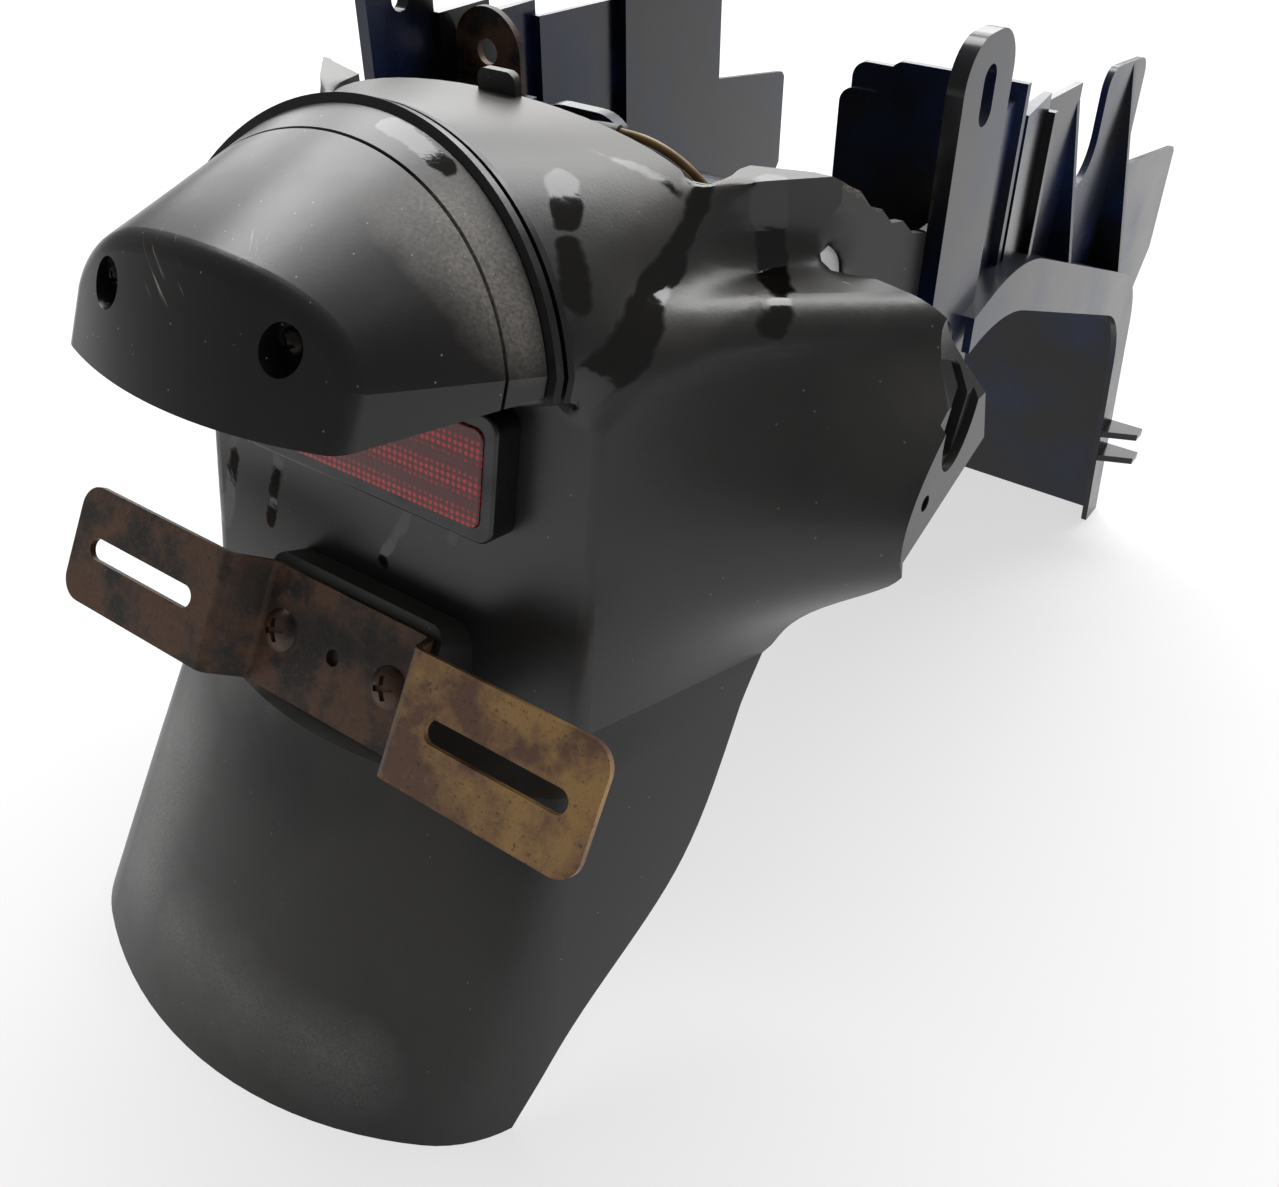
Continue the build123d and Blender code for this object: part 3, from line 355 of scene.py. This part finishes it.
# grain in mm, and how strongly it shows; a metal keeps the default IOR
plainFinishes = {
    # moulded nitrile rubber: soft black with a dull sheen
    "gasketRubber": {"paint": "0c0c0c", "roughness": 0.32, "values": {"IOR": 1.52},
                     "grain": 0.8, "bump": 0.15},
    # extruded PVC sleeving: brownish black, supple and a little shiny
    "sleeveVinyl": {"paint": "16150f", "roughness": 0.4, "values": {"IOR": 1.5},
                    "grain": 1.5, "bump": 0.1},
    # moulded acetal: hard black with a sharp sheen
    "blackAcetal": {"paint": "0e0e0f", "roughness": 0.3, "values": {"IOR": 1.5},
                    "grain": 1.2, "bump": 0.1},
    # moulded ABS: plain grey, half matt
    "greyAbs": {"paint": "8a8a88", "roughness": 0.5, "values": {"IOR": 1.5},
                "grain": 1, "bump": 0.1},
    # zinc-plated steel: dull grey metal, clouded
    "zincPlate": {"paint": "9a968c", "roughness": 0.42, "values": {"Metallic": 1},
                  "grain": 1.4, "bump": 0.2},
    # blackened steel: dark metal with a brown cast
    "blackOxide": {"paint": "26221f", "roughness": 0.36, "values": {"Metallic": 0.8},
                   "grain": 1.4, "bump": 0.25},
    # extruded PVC insulation: tan, soft sheen
    "tanInsulation": {"paint": "8c6f42", "roughness": 0.42, "values": {"IOR": 1.5},
                      "grain": 1.6, "bump": 0.15},
}
handling = {"size": 9, "shade": 0.45, "grainDepth": 0.15}


def plainFinish(name):
    # one colour, mottled by the dirt of handling
    look = plainFinishes[name]
    material, tree, shader = newMaterial(name, look["values"])
    place = addNode(tree, "TexCoord", out="Object")
    grain = addNode(tree, "TexNoise", {"Vector": place, "Scale": perMm(look["grain"]), "Detail": 4})
    dirt = addNode(tree, "TexNoise", {"Vector": place, "Scale": perMm(handling["size"]), "Detail": 5})
    clean = hexLinear(look["paint"])
    dirty = [c * handling["shade"] for c in clean[:3]] + [1]
    smear = addNode(tree, "MapRange", {0: dirt, 1: 0.45, 2: 0.7})
    colour = paintOver(tree, clean, [(smear, dirty)])
    roughness = addNode(tree, "MapRange", {0: dirt, 1: 0.3, 2: 0.7, 3: look["roughness"] - 0.06,
                                           4: look["roughness"] + 0.14})
    normal = addNode(tree, "Bump", {"Height": grain, "Distance": handling["grainDepth"] * mm,
                                    "Strength": look["bump"]})
    wireShader(tree, shader, {"Base Color": colour, "Roughness": roughness, "Normal": normal})
    return material


clearFinishes = {
    "clearAcrylic": {"tint": "e8ecec", "ior": 1.49, "roughness": 0.05},  # moulded, clear with a cool tint
    "bulbGlass": {"tint": "f4f4f0", "ior": 1.52, "roughness": 0.02},  # blown, clear and bright
}
grime = {"size": 12, "roughness": 0.25}


def clearFinish(name):
    # see-through, dulled in patches by grime
    look = clearFinishes[name]
    values = {"IOR": look["ior"], "Transmission Weight": 1, "Base Color": hexLinear(look["tint"])}
    material, tree, shader = newMaterial(name, values)
    place = addNode(tree, "TexCoord", out="Object")
    film = addNode(tree, "TexNoise", {"Vector": place, "Scale": perMm(grime["size"]), "Detail": 5})
    roughness = addNode(tree, "MapRange", {0: film, 1: 0.4, 2: 0.75, 3: look["roughness"],
                                           4: look["roughness"] + grime["roughness"]})
    wireShader(tree, shader, {"Roughness": roughness})
    return material


rusted = rustedSteel()
plain = {name: plainFinish(name) for name in plainFinishes}
finishes = {
    "rear_fender": tailPlastic(), "inner_fender": innerPlastic(), "lamp_cover": coverPlastic(),
    "plate_bracket": rusted, "plate_screws": rusted, "mount_tab": rusted, "reflector_lens": reflectorRed(),
    "lamp_window": clearFinish("clearAcrylic"), "lamp_bulb": clearFinish("bulbGlass"),
    "lamp_gasket": plain["gasketRubber"], "lead_grommet": plain["gasketRubber"],
    "lead_connectors": plain["blackAcetal"], "reflector_housing": plain["blackAcetal"],
    "bulb_holder": plain["blackAcetal"], "lamp_base": plain["greyAbs"],
    "joint_nuts": plain["zincPlate"], "tab_rivets": plain["zincPlate"], "plate_washers": plain["zincPlate"],
    "plate_nuts": plain["zincPlate"], "reflector_nut": plain["zincPlate"], "lamp_nuts": plain["zincPlate"],
    "joint_screws": plain["blackOxide"], "cover_screws": plain["blackOxide"],
}
for name, finish in finishes.items():
    nodes[name].data.materials[0] = finish
print("finishes:", len(finishes))


# the tail with the soft valleys of a moulding, where its solid has firmer creases
shellLook = {
    "weld": 0.001, "sliver": 0.02, "fine": 2.2, "splits": 9,  # mm, and rounds of splitting
    "steps": 120, "rate": 0.5, "fade": 1.5, "normalFade": 4,
    # lines along the right-hand valleys: start, end and radius in mm
    "valleys": [((70, -84, 222), (70, -112, 216), 20), ((70, -112, 216), (67, -146, 200), 14),
                ((70, -84, 217), (90, -63, 216), 15)],
}


def valleyWeight(points):
    # 1 along the valleys and 0 away from them, the same left and right
    weight = numpy.zeros(len(points))
    folded = numpy.column_stack((numpy.abs(points[:, 0]), points[:, 1:]))
    for start, end, radius in shellLook["valleys"]:
        along = numpy.subtract(end, start)
        part = numpy.clip((folded - start) @ along / (along @ along), 0, 1)
        gap = numpy.linalg.norm(folded - start - part[:, None] * along, axis=1)
        weight = numpy.maximum(weight, numpy.clip(shellLook["fade"] * (1 - gap / radius), 0, 1))
    return weight


def refineValleys(form):
    # splits the longest edge of each large face near the valleys
    for turn in range(shellLook["splits"]):
        ends = numpy.array([[*edge.verts[0].co, *edge.verts[1].co] for edge in form.edges]) / mm
        large = numpy.linalg.norm(ends[:, 3:] - ends[:, :3], axis=1) > shellLook["fine"]
        near = numpy.zeros(len(ends), bool)
        for share in (0, 0.25, 0.5, 0.75, 1):
            near |= valleyWeight(ends[:, :3] * (1 - share) + ends[:, 3:] * share) > 0
        longest = {max(face.edges, key=lambda edge: edge.calc_length()) for face in form.faces}
        split = [edge for edge, wanted in zip(form.edges, large & near) if wanted and edge in longest]
        if not split:
            break
        bmesh.ops.subdivide_edges(form, edges=split, cuts=1, use_single_edge=True)
        bmesh.ops.triangulate(form, faces=[face for face in form.faces if len(face.verts) > 3])


def readRows(items, name, wide, kind=float):
    flat = numpy.empty(wide * len(items), kind)
    items.foreach_get(name, flat)
    return flat.reshape(-1, wide)


def smoothValleys(points, edges, weight):
    # moves each point towards the middle of its neighbours, again and again
    count = numpy.bincount(edges.ravel(), minlength=len(points))
    for step in range(shellLook["steps"]):
        for axis in range(3):
            line = points[:, axis]
            total = numpy.bincount(edges[:, 0], line[edges[:, 1]], len(line))
            total += numpy.bincount(edges[:, 1], line[edges[:, 0]], len(line))
            points[:, axis] = line + shellLook["rate"] * weight * (total / count - line)


def softShell():
    mesh = nodes["rear_fender"].data.copy()
    # the solid's own shading is kept away from the valleys
    kept = mesh.attributes.new("solidNormal", "FLOAT_VECTOR", "CORNER")
    kept.data.foreach_set("vector", readRows(mesh.corner_normals, "vector", 3).ravel())
    form = bmesh.new()
    form.from_mesh(mesh)
    bmesh.ops.remove_doubles(form, verts=form.verts, dist=shellLook["weld"] * mm)
    bmesh.ops.dissolve_degenerate(form, edges=form.edges, dist=shellLook["sliver"] * mm)
    refineValleys(form)
    form.to_mesh(mesh)
    form.free()
    points = readRows(mesh.vertices, "co", 3) / mm
    weight = valleyWeight(points)
    smoothValleys(points, readRows(mesh.edges, "vertices", 2, int), weight)
    mesh.vertices.foreach_set("co", (points * mm).ravel())
    mesh.update()
    mesh.polygons.foreach_set("use_smooth", [True] * len(mesh.polygons))
    solidNormals = readRows(mesh.attributes["solidNormal"].data, "vector", 3)
    mesh.attributes.remove(mesh.attributes["solidNormal"])
    corner = readRows(mesh.loops, "vertex_index", 1, int)[:, 0]
    share = numpy.clip(shellLook["normalFade"] * weight[corner], 0, 1)[:, None]
    normals = solidNormals * (1 - share) + readRows(mesh.vertex_normals, "vector", 3)[corner] * share
    length = numpy.maximum(numpy.linalg.norm(normals, axis=1), 0.001)
    mesh.normals_split_custom_set(normals / length[:, None])
    shell = bpy.data.objects.new("rearFenderShell", mesh)
    bpy.context.scene.collection.objects.link(shell)
    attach(shell, "root")
    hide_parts("rear_fender")
    print("shell:", len(mesh.polygons), "faces")


softShell()


# lamp leads and their sleeve, in mm, on the same points as the solids
sleeveLook = {
    "wide": 6.5, "long": 77.5,
    "route": [(0, -132.2, 228.2), (0, -122, 224.2), (1, -111, 225.5), (3.5, -101.5, 230),
              (8, -93, 235.5), (15, -85, 240), (24.5, -79, 241.5), (35.5, -76.5, 241)],
}
leadLook = {
    "wide": 2.4, "long": 104,
    "routes": {
        "lampLeadA": [(29.7, -77, 242.4), (38.4, -75, 242), (46.8, -74, 240.3), (54.2, -72.8, 236.5),
                      (59.9, -70.6, 230.7), (63.4, -67.6, 223.3), (65.4, -63.8, 215.5),
                      (66.2, -59.4, 207.9), (66, -54.2, 200.6), (65, -48.4, 194), (63.8, -41.8, 188.4),
                      (63, -34.6, 184), (62.5, -27, 180.9)],
        "lampLeadB": [(29.7, -78.6, 240.2), (38.4, -76.6, 239.8), (46.8, -75.6, 238.1),
                      (54.2, -74.4, 234.3), (59.7, -72.2, 228.5), (63, -69.2, 221.1), (64.6, -65.4, 213.3),
                      (65, -61, 205.7), (64, -55.8, 198.6), (62.2, -49.6, 192.4), (59.8, -42.6, 187.2),
                      (57.8, -35, 183.4), (57, -27, 180.9)],
    },
    "stands": {"lampLeadA": "lamp_lead_a", "lampLeadB": "lamp_lead_b"},
}


def softLine(name, route, wide, finish):
    curve = bpy.data.curves.new(name, "CURVE")
    curve.dimensions = "3D"
    spline = curve.splines.new("NURBS")
    spline.points.add(len(route) - 1)
    for point, place in zip(spline.points, route):
        point.co = (*(c * mm for c in place), 1)
    spline.order_u = 3
    spline.use_endpoint_u = True
    spline.resolution_u = 8
    curve.bevel_depth = wide / 2 * mm
    curve.bevel_resolution = 5
    curve.use_fill_caps = True
    curve.materials.append(finish)
    piece = bpy.data.objects.new(name, curve)
    bpy.context.scene.collection.objects.link(piece)
    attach(piece, "root")
    return piece


def laySleeve():
    look = sleeveLook
    sleeve = softLine("leadSleeve", look["route"], look["wide"], plain["sleeveVinyl"])
    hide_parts("lead_sleeve")


def layLeads():
    look = leadLook
    for name, route in look["routes"].items():
        lead = softLine(name, route, look["wide"], plain["tanInsulation"])
        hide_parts(look["stands"][name])


laySleeve()
layLeads()
print("leads laid")


# pale floor, a large soft light above and behind, and a lower one behind on the left; metres and watts
studio = {
    "floor": "fafafa", "floorWide": 12, "floorShare": 0.65, "world": 0.22, "aim": (0, 0, 0.12),
    "lamps": {
        "keySoftbox": {"place": (-0.6, 1.47, 2.54), "power": 122, "wide": 4.2, "tall": 1.2},
        "backSoftbox": {"place": (-1.64, 2.17, 1.27), "power": 58, "wide": 3.6, "tall": 1.6},
    },
}


def layFloor():
    # pale matt paper, partly white by itself where it is seen, so that it keeps a soft shadow
    bpy.ops.mesh.primitive_plane_add(size=studio["floorWide"])
    floor = bpy.context.object
    floor.name = "studioFloor"
    values = {"Roughness": 0.9, "Base Color": hexLinear(studio["floor"])}
    material, tree, shader = newMaterial("palePaper", values)
    seen = 0
    for ray in ("Is Camera Ray", "Is Glossy Ray", "Is Transmission Ray"):
        seen = addNode(tree, "Math", {0: seen, 1: addNode(tree, "LightPath", out=ray)}, operation="MAXIMUM")
    share = addNode(tree, "Math", {0: seen, 1: studio["floorShare"]}, operation="MULTIPLY")
    white = addNode(tree, "Emission", {"Color": (1, 1, 1, 1), "Strength": 1})
    blend = addNode(tree, "MixShader", {0: share, 1: shader.outputs[0], 2: white})
    tree.links.new(blend, tree.nodes["Material Output"].inputs["Surface"])
    material.cycles.emission_sampling = "NONE"
    floor.data.materials.append(material)


def hangLights():
    scene = bpy.context.scene
    scene.world = bpy.data.worlds.new("studioWorld")
    scene.world.use_nodes = True
    background = scene.world.node_tree.nodes["Background"]
    background.inputs["Color"].default_value = (1, 1, 1, 1)
    background.inputs["Strength"].default_value = studio["world"]
    for name, look in studio["lamps"].items():
        lamp = bpy.data.lights.new(name, "AREA")
        lamp.energy = look["power"]
        lamp.shape = "RECTANGLE"
        lamp.size = look["wide"]
        lamp.size_y = look["tall"]
        holder = bpy.data.objects.new(name, lamp)
        scene.collection.objects.link(holder)
        holder.location = look["place"]
        aim = Vector(studio["aim"]) - Vector(look["place"])
        holder.rotation_euler = aim.to_track_quat("-Z", "Y").to_euler()


# the photograph's own view: metres, degrees, and its focal length and width in pixels
photoView = {
    "place": (0.2356, -0.3468, 0.3492), "azimuth": 35.6, "elevation": 37.5,
    "focalPixels": 1276, "widePixels": 1279, "sensor": 36,
}


def placeCamera():
    look = photoView
    lens = bpy.data.cameras.new("photoCamera")
    lens.sensor_fit = "HORIZONTAL"
    lens.sensor_width = look["sensor"]
    lens.lens = look["sensor"] * look["focalPixels"] / look["widePixels"]
    lens.clip_start = 0.01
    camera = bpy.data.objects.new("photoCamera", lens)
    bpy.context.scene.collection.objects.link(camera)
    camera.location = look["place"]
    camera.rotation_euler = (math.radians(90 - look["elevation"]), 0, math.radians(look["azimuth"]))
    bpy.context.scene.camera = camera


layFloor()
hangLights()
placeCamera()
bpy.context.scene.view_settings.view_transform = "Standard"
print("studio built")
